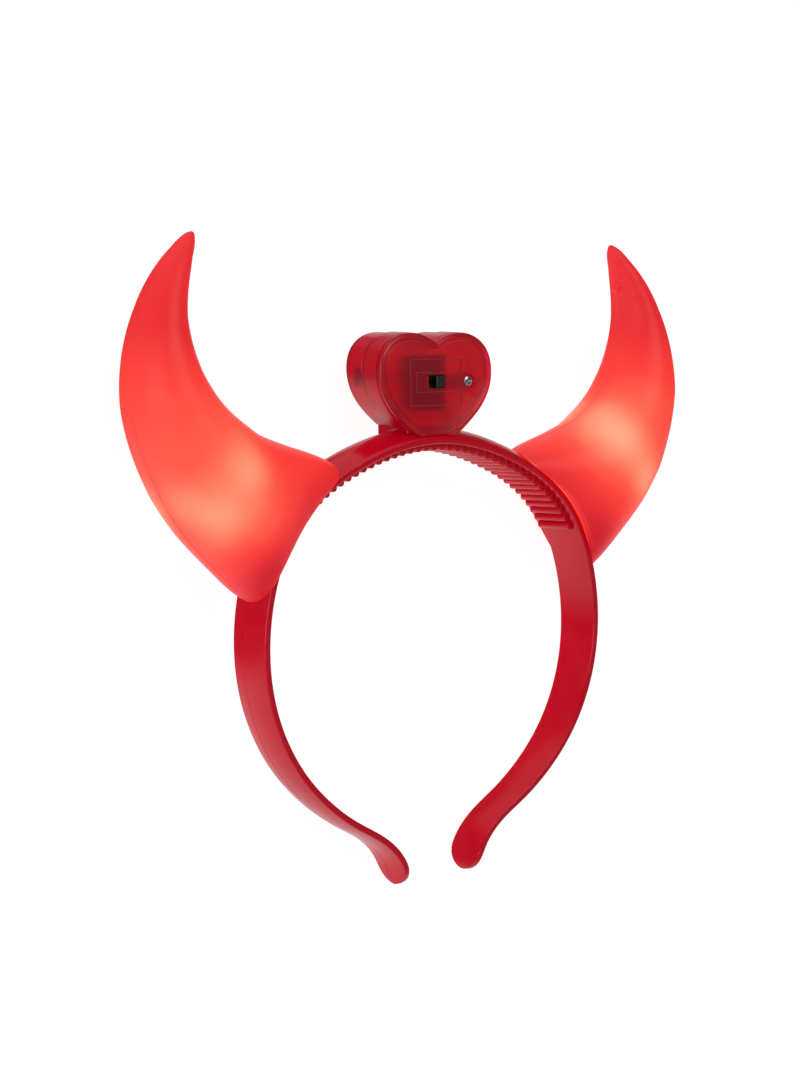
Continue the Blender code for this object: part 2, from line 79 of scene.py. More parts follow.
def place_camera():
    """Puts the camera at the photograph's angle to the headband."""
    back = Vector((-math.sin(VIEW_TURN) * math.cos(VIEW_RISE), -math.cos(VIEW_TURN) * math.cos(VIEW_RISE),
                   math.sin(VIEW_RISE)))
    level = Vector((math.cos(VIEW_TURN), -math.sin(VIEW_TURN), 0.0))
    upward = back.cross(level)
    across = level * math.cos(VIEW_ROLL) + upward * math.sin(VIEW_ROLL)
    upward = upward * math.cos(VIEW_ROLL) - level * math.sin(VIEW_ROLL)
    turned = Matrix((across, upward, back)).transposed().to_4x4()
    camera = bpy.data.objects.new("camera", bpy.data.cameras.new("camera"))
    camera.data.lens = LENS_PIXELS * 36 / PICTURE_HEIGHT
    camera.data.clip_start = 0.01
    camera.matrix_world = LIE_DOWN @ Matrix.Translation((AIM + back * VIEW_DISTANCE) * MM) @ turned
    bpy.context.scene.collection.objects.link(camera)
    bpy.context.scene.camera = camera
    return camera


camera = place_camera()
print("camera at", [round(v, 3) for v in camera.location], "lens", round(camera.data.lens, 2), "mm")

# %% [markdown]
# Every shell here is a row of closed rings: a horn's round sections, the band's flat ones, the heart's
# outline at each depth. A ring starts as a circle, one extrude of its edges makes the next ring, and each
# new point is set on its place. The shape then has even quads, which shade cleanly on glossy plastic.

# %% Rings that grow into shells
def ring_edges(bm, ring):
    """The edges between neighbours of a closed ring."""
    return [bm.edges.get((a, b)) for a, b in zip(ring, ring[1:] + ring[:1])]


def first_ring(bm, places):
    """A circle whose points are set on the places."""
    ring = bmesh.ops.create_circle(bm, segments=len(places), radius=1.0)["verts"]
    for vert, place in zip(ring, places):
        vert.co = place
    return ring


def next_ring(bm, ring, places):
    """One extrude of a ring, with the new points set on their places."""
    made = bmesh.ops.extrude_edge_only(bm, edges=ring_edges(bm, ring))["geom"]
    fresh = {v for v in made if isinstance(v, bmesh.types.BMVert)}
    ring = [next(e.other_vert(v) for e in v.link_edges if e.other_vert(v) in fresh) for v in ring]
    for vert, place in zip(ring, places):
        vert.co = place
    return ring


def close_ring(bm, ring):
    """A flat cap over a ring, cut into triangles because a heart is not convex."""
    made = bmesh.ops.edgeloop_fill(bm, edges=ring_edges(bm, ring))["faces"]
    bmesh.ops.triangulate(bm, faces=made, quad_method="BEAUTY", ngon_method="BEAUTY")


def shell(rows, closed=False):
    """Body through rows of places: capped at both ends, or closed on itself."""
    bm = bmesh.new()
    ring = start = first_ring(bm, rows[0])
    for row in rows[1:]:
        ring = next_ring(bm, ring, row)
    if closed:
        bmesh.ops.bridge_loops(bm, edges=ring_edges(bm, start) + ring_edges(bm, ring))
    else:
        close_ring(bm, start)
        close_ring(bm, ring)
    bmesh.ops.recalc_face_normals(bm, faces=bm.faces[:])
    return bm


# %% [markdown]
# A bmesh becomes an object in two steps. `lay_down` moves it to the table and shades it: round surfaces
# smooth, edges sharper than the given angle crisp. `dress` then gives it its finish, the body that it rides
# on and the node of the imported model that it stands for.

# %% From mesh to piece
SHARP_ANGLE = 38.0


def lay_down(name, bm):
    """Object from a bmesh that is drawn in worn millimetres."""
    mesh = bpy.data.meshes.new(name)
    bm.transform(TO_TABLE)
    bm.to_mesh(mesh)
    bm.free()
    mesh.shade_smooth()
    mesh.set_sharp_from_angle(angle=math.radians(SHARP_ANGLE))
    obj = bpy.data.objects.new(name, mesh)
    bpy.context.scene.collection.objects.link(obj)
    return obj


def dress(obj, mat, stands_for=(), body="headband"):
    """Gives a piece its material, its body and the nodes that it replaces."""
    obj.data.materials.clear()
    obj.data.materials.append(mat)
    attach(obj, body)
    for node in stands_for:
        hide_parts(node)
    print(obj.name, len(obj.data.polygons), "faces", "for " + ", ".join(stands_for) if stands_for else "")
    return obj


def carve(obj, steps):
    """Runs Booleans on a piece and makes them final."""
    for operation, other in steps:
        modifier = obj.modifiers.new(operation.lower(), "BOOLEAN")
        modifier.operation = operation
        modifier.object = other
        modifier.solver = "EXACT"
    mesh = bpy.data.meshes.new_from_object(obj.evaluated_get(bpy.context.evaluated_depsgraph_get()))
    mesh.shade_smooth()
    mesh.set_sharp_from_angle(angle=math.radians(SHARP_ANGLE))
    obj.modifiers.clear()
    obj.data = mesh
    return obj


def discard(*objects):
    """Removes bodies that were only there to cut with."""
    for obj in objects:
        bpy.data.objects.remove(obj, do_unlink=True)


# %% [markdown]
# Materials are small node trees. Three helpers keep them readable: one makes the shader with its plain
# numbers, one adds a node and wires its inputs, and one gives a point's worn place in metres, because light
# spots and grain are easier to place on the worn headband than on the tilted one.

# %% Node helpers
def plastic(name, colour, roughness, **plain):
    """A Principled material with numbers set on the shader's own sockets."""
    mat = bpy.data.materials.new(name)
    mat.use_nodes = True
    shader = mat.node_tree.nodes["Principled BSDF"]
    shader.inputs["Base Color"].default_value = (*colour, 1.0)
    shader.inputs["Roughness"].default_value = roughness
    for socket, value in plain.items():
        shader.inputs[socket.replace("_", " ")].default_value = value
    mat.diffuse_color = (*colour, 1.0)
    return mat, shader


def node(mat, kind, links=None, **values):
    """A node with its properties and inputs; links names the sockets that feed it."""
    made = mat.node_tree.nodes.new(kind)
    for key, value in values.items():
        setattr(made, key, value)
    for key, source in (links or {}).items():
        if isinstance(source, bpy.types.NodeSocket):
            mat.node_tree.links.new(source, made.inputs[key])
        else:
            made.inputs[key].default_value = source
    return made


def worn_place(mat):
    """Worn position of the shaded point, in metres."""
    place = node(mat, "ShaderNodeTexCoord").outputs["Object"]
    turn = (math.radians(REST_TILT - 90), 0.0, 0.0)
    mapping = node(mat, "ShaderNodeMapping", {0: place, 1: REST_PLACE, 2: turn}, vector_type="TEXTURE")
    return mapping.outputs[0]


def grain(mat, place, scale, detail=2.0):
    """Soft noise between 0 and 1."""
    return node(mat, "ShaderNodeTexNoise", {"Vector": place, "Scale": scale, "Detail": detail}).outputs["Fac"]


def spread(mat, source, low, high):
    """Maps noise, which keeps near the middle, to a range of numbers."""
    return node(mat, "ShaderNodeMapRange", {0: source, 1: 0.3, 2: 0.7, 3: low, 4: high}).outputs[0]


def dent(mat, shader, height, distance, strength=1.0):
    """Bump on a shader; distance is the real height of the relief in metres."""
    made = node(mat, "ShaderNodeBump", {"Height": height, "Distance": distance, "Strength": strength})
    mat.node_tree.links.new(made.outputs["Normal"], shader.inputs["Normal"])


# %% [markdown]
# The band is solid red plastic with a polished mould finish. Thick clear plastic swallows green and blue,
# so its own colour is a pure crimson, and what is pale on it is only reflection. A slow noise changes the
# colour by a few per cent, as uneven thickness does, and a long low waviness bends the reflections a
# little.

# %% Polished red plastic of the band
def band_finish():
    # A faint red emission on top is painted glow: it brightens the band's red as extra light would.
    mat, shader = plastic("polished red plastic", (0.62, 0.001, 0.016), 0.14, Specular_IOR_Level=0.45,
                          Emission_Strength=1.0)
    shader.inputs["Emission Color"].default_value = (0.03, 0.0001, 0.001, 1.0)
    place = worn_place(mat)
    cloud = node(mat, "ShaderNodeValToRGB", {0: grain(mat, place, 38.0)})
    cloud.color_ramp.elements[0].position = 0.3
    cloud.color_ramp.elements[0].color = (0.58, 0.001, 0.015, 1)
    cloud.color_ramp.elements[1].position = 0.7
    cloud.color_ramp.elements[1].color = (0.66, 0.001, 0.019, 1)
    mat.node_tree.links.new(cloud.outputs[0], shader.inputs["Base Color"])
    haze = spread(mat, grain(mat, place, 160.0, 4.0), 0.1, 0.2)
    mat.node_tree.links.new(haze, shader.inputs["Roughness"])
    dent(mat, shader, grain(mat, place, 55.0, 1.0), 0.00035, 0.5)
    return mat


band_red = band_finish()
print("finish:", band_red.name)

# %% [markdown]
# The horns are blow-moulded from milky red plastic and sanded by their mould, so light from the lamps
# inside spreads through the wall before it leaves. Real scattering would need long renders. Here the glow
# is drawn as a field in space instead: a base level along the horn, plus a round soft spot for each lamp.
# The field sets both the strength and the hue, from deep red over vermilion to salmon, as the wall lets
# more light through. A spot with a negative strength takes light away, and a shade near the band keeps each
# mouth dim.

# %% Frosted, glowing plastic of the horns
LEFT_LAMPS = [
    ((-84.0, -14.0, 66.5), 8.5, 0.36),
    ((-73.0, -15.0, 64.5), 11.0, 0.13),
    ((-82.0, -8.0, 58.5), 7.0, 0.08),
    ((-93.0, -6.0, 69.5), 9.0, 0.26),
    ((-76.7, -18.0, 79.5), 8.5, 0.36),
    ((-79.0, -14.5, 90.0), 9.0, 0.06),
    ((-88.0, -12.0, 85.0), 16.0, 0.1),
    ((-52.0, -14.0, 66.0), 9.0, -0.14),
    ((-67.0, -10.0, 49.0), 10.0, -0.26),
    ((-84.0, -8.0, 116.0), 9.0, -0.1),
]
RIGHT_LAMPS = [
    ((69.0, -14.5, 85.5), 7.5, 0.27),
    ((67.5, -6.5, 91.0), 9.0, 0.34),
    ((59.0, -11.0, 86.0), 6.5, 0.15),
    ((64.0, -15.5, 79.0), 9.0, 0.2),
    ((72.5, -16.0, 78.5), 7.0, 0.16),
    ((79.5, -17.0, 81.0), 7.0, 0.08),
    ((78.0, -17.5, 69.5), 8.0, 0.36),
    ((81.0, -13.0, 93.0), 11.0, 0.16),
    ((63.0, -12.0, 50.0), 10.0, -0.24),
    ((88.0, -10.0, 124.0), 12.0, -0.08),
]
HEAD_CENTRE = Vector((0.0, 0.0, 14.0))
MOUTH_SHADE = (0.071, 0.084, -0.26)


def lamp_spot(mat, place, centre, reach, strength):
    """Bell-shaped light around one lamp; centre and reach are in worn millimetres."""
    away = node(mat, "ShaderNodeVectorMath", {0: place, 1: Vector(centre) * MM}, operation="DISTANCE")
    near = node(mat, "ShaderNodeMath", {0: away.outputs["Value"], 1: reach * MM}, operation="DIVIDE")
    square = node(mat, "ShaderNodeMath", {0: near.outputs[0], 1: 2.0}, operation="POWER")
    flip = node(mat, "ShaderNodeMath", {0: square.outputs[0], 1: -1.0}, operation="MULTIPLY")
    bell = node(mat, "ShaderNodeMath", {0: flip.outputs[0]}, operation="EXPONENT")
    return node(mat, "ShaderNodeMath", {0: bell.outputs[0], 1: strength}, operation="MULTIPLY").outputs[0]


def horn_finish(name, lamps):
    """Satin skin over a glow field that is the same on the front and the back of the horn."""
    mat, shader = plastic(name, (0.34, 0.008, 0.012), 0.44, Specular_IOR_Level=0.1, Coat_Weight=0.42,
                          Coat_Roughness=0.42, Emission_Strength=1.0)
    place = worn_place(mat)
    parts = node(mat, "ShaderNodeSeparateXYZ", {0: place}).outputs
    depth = node(mat, "ShaderNodeMath", {0: parts["Y"]}, operation="ABSOLUTE").outputs[0]
    front = node(mat, "ShaderNodeMath", {0: depth, 1: -1.0}, operation="MULTIPLY").outputs[0]
    folded = node(mat, "ShaderNodeCombineXYZ", {"X": parts["X"], "Y": front, "Z": parts["Z"]}).outputs[0]
    fade = node(mat, "ShaderNodeMapRange", {0: parts["Z"], 1: 0.098, 2: 0.122, 3: 0.46, 4: 0.24},
                interpolation_type="SMOOTHSTEP")
    flat = node(mat, "ShaderNodeCombineXYZ", {"X": parts["X"], "Z": parts["Z"]}).outputs[0]
    away = node(mat, "ShaderNodeVectorMath", {0: flat, 1: HEAD_CENTRE * MM}, operation="DISTANCE")
    start, end, shade = MOUTH_SHADE
    mouth = node(mat, "ShaderNodeMapRange", {0: away.outputs["Value"], 1: start, 2: end, 3: shade, 4: 0.0},
                 interpolation_type="SMOOTHSTEP").outputs[0]
    level = node(mat, "ShaderNodeMath", {0: fade.outputs[0], 1: mouth}, operation="ADD").outputs[0]
    for centre, reach, strength in lamps:
        spot = lamp_spot(mat, folded, centre, reach, strength)
        level = node(mat, "ShaderNodeMath", {0: level, 1: spot}, operation="ADD").outputs[0]
    drift = spread(mat, grain(mat, place, 45.0, 3.0), 0.94, 1.06)
    level = node(mat, "ShaderNodeMath", {0: level, 1: drift}, operation="MULTIPLY").outputs[0]
    hue = node(mat, "ShaderNodeValToRGB", {0: level})
    ramp = hue.color_ramp
    ramp.elements[0].position = 0.0
    ramp.elements[0].color = (0.44, 0.004, 0.012, 1)
    ramp.elements[1].position = 1.0
    ramp.elements[1].color = (0.88, 0.38, 0.23, 1)
    for at, colour in ((0.22, (0.61, 0.017, 0.02, 1)), (0.46, (0.79, 0.042, 0.03, 1)),
                       (0.62, (0.82, 0.1, 0.054, 1)), (0.84, (0.85, 0.25, 0.138, 1))):
        ramp.elements.new(at).color = colour
    mat.node_tree.links.new(hue.outputs[0], shader.inputs["Emission Color"])
    fine = grain(mat, place, 900.0, 2.0)
    haze = spread(mat, fine, 0.38, 0.5)
    mat.node_tree.links.new(haze, shader.inputs["Roughness"])
    dent(mat, shader, fine, 0.00005, 0.5)
    return mat


left_glow = horn_finish("frosted red plastic left", LEFT_LAMPS)
right_glow = horn_finish("frosted red plastic right", RIGHT_LAMPS)
print("finishes:", left_glow.name, "and", right_glow.name)

# %% [markdown]
# The heart's three shells are the same red, but clear, so the dark parts inside show through. Transmission
# with a strong tint does that: light is coloured at every surface that it crosses, and two walls give the
# deep red of the photograph. A little roughness keeps what is inside soft. The thin raised lines on the
# cover get a paler, less clear copy of the red as a painted highlight, or they would be lost on it.

# %% Clear red plastic of the heart
def box_finish():
    # The faint red emission on the shells is painted glow that brightens the box.
    mat, shader = plastic("clear red plastic", (0.74, 0.006, 0.045), 0.3, IOR=1.46, Transmission_Weight=0.84,
                          Coat_Weight=0.15, Coat_Roughness=0.1, Emission_Strength=1.0)
    shader.inputs["Emission Color"].default_value = (0.035, 0.0003, 0.002, 1.0)
    place = worn_place(mat)
    haze = spread(mat, grain(mat, place, 60.0, 2.0), 0.26, 0.36)
    mat.node_tree.links.new(haze, shader.inputs["Roughness"])
    dent(mat, shader, grain(mat, place, 60.0, 1.0), 0.0002, 0.3)
    return mat


def painted_highlight_line_finish():
    # Paler and less clear than the shells: a painted highlight that makes the thin raised lines read.
    mat, shader = plastic("raised line painted highlight", (0.6, 0.05, 0.07), 0.3, IOR=1.46, Transmission_Weight=0.4)
    haze = spread(mat, grain(mat, worn_place(mat), 300.0, 3.0), 0.2, 0.4)
    mat.node_tree.links.new(haze, shader.inputs["Roughness"])
    return mat


box_red = box_finish()
line_red_painted_highlight = painted_highlight_line_finish()
print("finishes:", box_red.name, "and", line_red_painted_highlight.name)


# %% [markdown]
# Three small finishes are left: the black plastic of the switch, the dark block behind the red shells, and
# the bright zinc of the screw. Each still has its own grain, because black plastic is never one flat black.

# %% Black plastic and zinc
def black_finish(name, colour, low, high):
    mat, shader = plastic(name, colour, low)
    place = worn_place(mat)
    fine = grain(mat, place, 2400.0, 2.0)
    haze = spread(mat, fine, low, high)
    mat.node_tree.links.new(haze, shader.inputs["Roughness"])
    dent(mat, shader, fine, 0.00002, 0.5)
    return mat


def zinc_finish():
    mat, shader = plastic("bright zinc", (0.74, 0.73, 0.7), 0.2, Metallic=1.0)
    place = worn_place(mat)
    scuff = grain(mat, place, 1800.0, 3.0)
    haze = spread(mat, scuff, 0.14, 0.34)
    mat.node_tree.links.new(haze, shader.inputs["Roughness"])
    dent(mat, shader, scuff, 0.00002, 0.4)
    return mat


switch_black = black_finish("switch black plastic", (0.008, 0.008, 0.009), 0.3, 0.45)
holder_black = black_finish("holder dark plastic", (0.02, 0.012, 0.012), 0.4, 0.6)
zinc = zinc_finish()
print("finishes:", switch_black.name, holder_black.name, zinc.name)

# %% [markdown]
# The band's outer edge line is a smooth curve through a few measured points, the same ones that the packed
# model uses. Its arc length is the natural ruler along the strip: width, crown and ribs are all given by
# it.

# %% The band's line
BAND_OUTLINE = [(0.0, 85.3), (28.9, 79.4), (53.4, 63.6), (64.8, 37.4), (63.9, 11.3), (54.1, -9.5),
                (43.0, -21.2), (33.2, -28.2), (24.4, -33.4), (19.0, -38.0), (15.9, -42.8), (14.6, -48.4)]
BAND_THICK = 2.0
TIP_ROUND = 6.8


def spline(points, parameters, samples):
    """Natural cubic curve through the points, read at the samples."""
    t = np.asarray(parameters, float)
    y = np.asarray(points, float)
    h = np.diff(t)
    rows = np.eye(len(t))
    right = np.zeros_like(y)
    for i in range(1, len(t) - 1):
        rows[i, i - 1:i + 2] = h[i - 1], 2 * (h[i - 1] + h[i]), h[i]
        right[i] = 6 * ((y[i + 1] - y[i]) / h[i] - (y[i] - y[i - 1]) / h[i - 1])
    bend = np.linalg.solve(rows, right)
    k = np.clip(np.searchsorted(t, samples, side="right") - 1, 0, len(t) - 2)
    a = ((t[k + 1] - samples) / h[k])[:, None]
    b = ((samples - t[k]) / h[k])[:, None]
    scale = (h[k] ** 2 / 6)[:, None]
    return a * y[k] + b * y[k + 1] + ((a ** 3 - a) * bend[k] + (b ** 3 - b) * bend[k + 1]) * scale


def chord_lengths(points):
    """Length along a row of points, from 0."""
    return np.concatenate([[0.0], np.cumsum(np.hypot(*np.diff(points, axis=0).T))])


def band_line():
    """Edge line from tip to tip, with its length measured from the top of the head."""
    right = np.array(BAND_OUTLINE)
    points = np.vstack([right[:0:-1] * (-1, 1), right])
    knots = chord_lengths(points)
    line = spline(points, knots, np.linspace(0, knots[-1], 4000))
    lengths = chord_lengths(line)
    return line, lengths - lengths[-1] / 2


LINE, LINE_LENGTH = band_line()
ARM = LINE_LENGTH[-1]


def band_point(s):
    """Edge line point and outward normal at length s from the top."""
    middle, ahead, behind = (np.array([np.interp(p, LINE_LENGTH, LINE[:, k]) for k in (0, 1)])
                             for p in (s, s + 0.5, s - 0.5))
    run = (ahead - behind) / np.hypot(*(ahead - behind))
    return middle, np.array([-run[1], run[0]])


def on_band(s, y, rise):
    """Worn place of a point of the band."""
    middle, normal = band_point(s)
    x, z = middle + normal * rise
    return Vector((x, y, z))


print("band length along its edge:", round(2 * ARM, 1), "mm")

# %% [markdown]
# A flat strip with a low crown is what the hand feels: 3 mm of rise over the head, almost none on the arms.
# Its section has rounded corners that catch a thin bright line, and the outer face carries the fine parting
# line of its mould, a little behind the middle. The tips narrow as half circles.

# %% The band's section and strip
PARTING_PLACE = 0.3
PARTING_DEPTH = 0.1
CORNER = 0.55


def band_half_width(s):
    """Half the strip's width, with the round end of the tip."""
    width = np.interp(abs(s) / ARM, [0, 0.3, 0.62, 0.9], [16.8, 16.8, 15.0, 13.6])
    into_tip = min(0.9999, max(0.0, abs(s) - (ARM - TIP_ROUND)) / TIP_ROUND)
    return width / 2 * math.sqrt(1 - into_tip ** 2)


def band_crown(s):
    """Rise of the outer face over the edge line."""
    return float(np.interp(abs(s) / ARM, [0, 0.2, 0.45, 0.9, 1], [3.2, 3.2, 0.8, 0.8, 0.1]))


def arc(centre, radius, start, end, steps=5):
    """Points of an arc in a section, its angles in degrees clockwise from straight out."""
    turns = np.radians(np.linspace(start, end, steps))
    return [(centre[0] + radius * math.sin(t), centre[1] + radius * math.cos(t)) for t in turns]


def band_section(s, grow=0.0):
    """Ring of the strip at length s; grow swells it on all sides."""
    half = band_half_width(s) + grow
    crown = band_crown(s)
    corner = min(CORNER, half / 3)
    slope = math.degrees(math.atan(2 * crown / max(half, 4.0)))
    reach = half - corner + corner * math.sin(math.radians(slope))
    shoulder = grow - corner * math.cos(math.radians(slope))
    low = -BAND_THICK - grow + corner
    places = []
    for u in sorted(list(np.linspace(-1, 1, 23)) + [PARTING_PLACE + d for d in (-0.035, 0.0, 0.035)])[1:-1]:
        dip = PARTING_DEPTH if abs(u - PARTING_PLACE) < 0.001 and not grow else 0.0
        places.append((u * reach, crown * (1 - u * u) + grow - dip))
    places += arc((half - corner, shoulder), corner, slope, 90)
    places += arc((half - corner, low), corner, 90, 180)
    places += arc((corner - half, low), corner, 180, 270)
    places += arc((corner - half, shoulder), corner, 270, 360 - slope)
    return [on_band(s, y, rise) for y, rise in places]


def band_strip(stations, grow=0.0):
    """The strip from tip to tip."""
    turn = [ARM - TIP_ROUND * (1 - math.sin(math.radians(a)))
            for a in (0, 12, 24, 34, 44, 52, 60, 67, 74, 80, 85)]
    arm = list(np.linspace(0, turn[0] - 1.5, stations // 2))[1:] + turn
    return shell([band_section(s, grow) for s in [-a for a in reversed(arm)] + [0.0] + arm])


strip = lay_down("band_strip", band_strip(240))
print("strip", [round(v * 1000, 1) for v in strip.dimensions], "mm")

# %% [markdown]
# The comb grips the hair: a thin pad inside the band with half-round teeth across it. One tooth is made
# from a circle, squashed, cut in half and pulled to length, with its ends bevelled. The rest are duplicates
# of it, each set square to the band at its own place.

# %% The comb inside the band
RIB_PITCH = 3.2
RIB_COUNT = 43
RIB_HEIGHT = 1.6
RIB_HALF = 1.31
RIB_FLOOR = 0.4
RIB_FRONT = -5.8
RIB_BACK = 7.9


def comb_tooth():
    """One tooth around the origin, its crest along -Z and its length along Y."""
    bm = bmesh.new()
    ring = bmesh.ops.create_circle(bm, segments=24, radius=1.0, cap_ends=True)["verts"]
    bmesh.ops.transform(bm, matrix=Matrix.Rotation(math.radians(90), 4, "X"), verts=ring)
    bmesh.ops.scale(bm, vec=(RIB_HALF, 1.0, RIB_HEIGHT), verts=ring)
    bmesh.ops.bisect_plane(bm, geom=bm.verts[:] + bm.edges[:] + bm.faces[:], plane_co=(0, 0, 0.25),
                           plane_no=(0, 0, 1), clear_outer=True)
    made = bmesh.ops.extrude_face_region(bm, geom=bm.faces[:])["geom"]
    moved = [v for v in made if isinstance(v, bmesh.types.BMVert)]
    bmesh.ops.translate(bm, vec=(0, RIB_BACK - RIB_FRONT, 0), verts=moved)
    bmesh.ops.translate(bm, vec=(0, RIB_FRONT, 0), verts=bm.verts[:])
    bmesh.ops.recalc_face_normals(bm, faces=bm.faces[:])
    rims = [e for e in bm.edges if abs(e.verts[0].co.y - e.verts[1].co.y) < 1e-6
            and min(e.verts[0].co.z, e.verts[1].co.z) < 0.2]
    bmesh.ops.bevel(bm, geom=rims, offset=0.3, offset_type="OFFSET", segments=3, profile=0.5, affect="EDGES",
                    material=-1, clamp_overlap=True)
    return bm


def comb_mesh():
    """Pad and teeth in one mesh."""
    bm = comb_tooth()
    tooth = bm.verts[:] + bm.edges[:] + bm.faces[:]
    for k in range(RIB_COUNT):
        s = (k + 0.5 - RIB_COUNT / 2) * RIB_PITCH
        middle, normal = band_point(s)
        foot = middle - normal * (BAND_THICK + RIB_FLOOR)
        turn = Matrix.Rotation(math.atan2(normal[0], normal[1]), 4, "Y")
        made = bmesh.ops.duplicate(bm, geom=tooth)["geom"]
        verts = [v for v in made if isinstance(v, bmesh.types.BMVert)]
        bmesh.ops.transform(bm, matrix=Matrix.Translation((foot[0], 0, foot[1])) @ turn, verts=verts)
    bmesh.ops.delete(bm, geom=tooth, context="VERTS")
    end = RIB_COUNT * RIB_PITCH / 2
    section = [(RIB_FRONT, -1.8), (RIB_BACK, -1.8), (RIB_BACK, -2.25), (RIB_BACK - 0.15, -2.4),
               (RIB_FRONT + 0.15, -2.4), (RIB_FRONT, -2.25)]
    pad = shell([[on_band(s, y, rise) for y, rise in section] for s in np.linspace(-end, end, 150)])
    held = bpy.data.meshes.new("pad")
    pad.to_mesh(held)
    pad.free()
    bm.from_mesh(held)
    bpy.data.meshes.remove(held)
    return bm


comb = lay_down("grip_comb", comb_mesh())
dress(strip, band_red, ("band",))
dress(comb, band_red, ("band",))

# %% [markdown]
# A horn's section goes from a long oval at the mouth, where it straddles the band, to a round tip. Its axis
# is a curve in one plane, so each ring is an oval across that curve. Near the mouth the oval melts into a
# saddle that follows the band. Rings run from the tip down outside and back up inside: that gives the wall.

# %% The horn's rings
HORN_AXIS = [(48.8, 58.4), (67.7, 69.3), (80.8, 80.9), (91.4, 99.1), (92.2, 122.0), (84.8, 138.6),
             (81.0, 144.0)]
HORN_HALF_WIDTH = [26.3, 20.0, 16.5, 11.9, 6.7, 3.1, 0.7]
HORN_HALF_DEPTH = [15.1, 18.5, 18.1, 14.7, 9.1, 3.9, 0.7]
HORN_KNOTS = np.linspace(0, 1, len(HORN_AXIS))
HORN_WALL = 1.4
FREE_END = 0.24
MOUTH_ARC = (23.5, 57.5)
MOUTH_HALF_DEPTH = 11.4
MOUTH_DROP = 0.7
MOUTH_SQUARENESS = 0.78
SHOULDER_RISE = 1.3
SHOULDER_PLACE = 0.1
SEAM_HEIGHT = 0.16
SEAM_ANGLE = 0.014


def arc_at(angle):
    """Length along the band at this many degrees from the top of the head."""
    half = LINE_LENGTH >= 0
    return float(np.interp(angle, np.degrees(np.arctan2(LINE[half, 0], LINE[half, 1])), LINE_LENGTH[half]))


MOUTH_START, MOUTH_END = (arc_at(angle) for angle in MOUTH_ARC)


def mouth_place(c, d, shrink):
    """Point of the mouth's rim for an angle with cosine c and sine d."""
    along = math.copysign(abs(c) ** MOUTH_SQUARENESS, c)
    sideways = math.copysign(abs(d) ** MOUTH_SQUARENESS, d)
    start, end = MOUTH_START + shrink, MOUTH_END - shrink
    middle, normal = band_point(start + (end - start) * (0.5 + 0.5 * along))
    x, z = middle - normal * MOUTH_DROP * (1 - along * along)
    return np.array([x, (MOUTH_HALF_DEPTH - shrink) * sideways, z])


def horn_frame(v):
    """Axis point and outward direction across the horn at v, 0 at the mouth and 1 at the tip."""
    middle, ahead, behind = spline(HORN_AXIS, HORN_KNOTS, np.array([v, v + 0.01, v - 0.01]))
    run = (ahead - behind) / np.hypot(*(ahead - behind))
    return middle, np.array([run[1], -run[0]])


def ring_angles(count):
    """Even angles, with two close neighbours at each parting line."""
    even = [2 * math.pi * k / count for k in range(count)]
    return sorted(even + [base + d for base in (0.0, math.pi) for d in (-SEAM_ANGLE, SEAM_ANGLE)])


def horn_section(v, shrink, count):
    """Ring of the horn, with the fine parting ridge on its outer and inner edge."""
    middle, across = horn_frame(v)
    half_width = float(np.interp(v, HORN_KNOTS, HORN_HALF_WIDTH)) - shrink
    half_depth = float(np.interp(v, HORN_KNOTS, HORN_HALF_DEPTH)) - shrink
    half_width += SHOULDER_RISE * math.exp(-((v - SHOULDER_PLACE) / 0.07) ** 2)
    free = min(1.0, v / FREE_END)
    free = free * free * (3 - 2 * free)
    ring = []
    for angle in ring_angles(count):
        c, d = math.cos(angle), math.sin(angle)
        ridge = SEAM_HEIGHT if abs(d) < 1e-6 and not shrink and 0.03 < v < 0.97 else 0.0
        x, z = middle + across * (half_width + ridge) * c
        place = np.array([x, half_depth * d, z]) * free + mouth_place(c, d, shrink) * (1 - free)
        ring.append(Vector(place))
    return ring


print("horn mouth from", round(MOUTH_START, 1), "to", round(MOUTH_END, 1), "mm along the band")

# %% [markdown]
# Where the horn sits on the band it is cut to it, with a hair's gap of 0.3 mm, by subtracting a swollen
# copy of the strip. The left horn is the cut horn mirrored, its faces turned back outwards afterwards. The
# right one also has a round gate mark near its tip, joined on before the cut.

# %% Left and right horn
NUB_PLACE = 0.767
NUB_RADIUS = 2.0
NUB_RISE = 1.3
band_room = lay_down("band_room", band_strip(150, grow=0.3))


def horn(name, count=72):
    """Hollow right horn, open at the mouth."""
    outside = np.concatenate([[1.0, 0.995, 0.985], np.linspace(0.97, 0.0, 72)])
    inside = np.linspace(0.0, 0.82, 30)
    rows = [horn_section(v, 0.0, count) for v in outside]
    rows += [horn_section(v, HORN_WALL, count) for v in inside]
    return lay_down(name, shell(rows))


def gate_mark():
    """Round mark on the edge that faces the other horn."""
    middle, across = horn_frame(NUB_PLACE)
    x, z = middle - across * float(np.interp(NUB_PLACE, HORN_KNOTS, HORN_HALF_WIDTH))
    bm = bmesh.new()
    low = Matrix.Diagonal((NUB_RISE / NUB_RADIUS, 1.0, 1.0, 1.0))
    bmesh.ops.create_icosphere(bm, subdivisions=3, radius=NUB_RADIUS,
                               matrix=Matrix.Translation((x, 0, z)) @ low)
    return lay_down("gate_mark", bm)


def mirrored(obj, name):
    """Copy of a piece on the other side of the head, with its faces turned outwards."""
    bm = bmesh.new()
    bm.from_mesh(obj.data)
    bmesh.ops.scale(bm, vec=(-1, 1, 1), verts=bm.verts[:])
    bmesh.ops.reverse_faces(bm, faces=bm.faces[:])
    bm.transform(TO_TABLE.inverted())
    return lay_down(name, bm)


mark = gate_mark()
plain_horn = carve(horn("plain_horn"), [("DIFFERENCE", band_room)])
left_horn = mirrored(plain_horn, "left_horn")
right_horn = carve(horn("right_horn"), [("UNION", mark), ("DIFFERENCE", band_room)])
dress(left_horn, left_glow, ("horn_left",))
dress(right_horn, right_glow, ("horn_right",))
discard(mark, plain_horn)

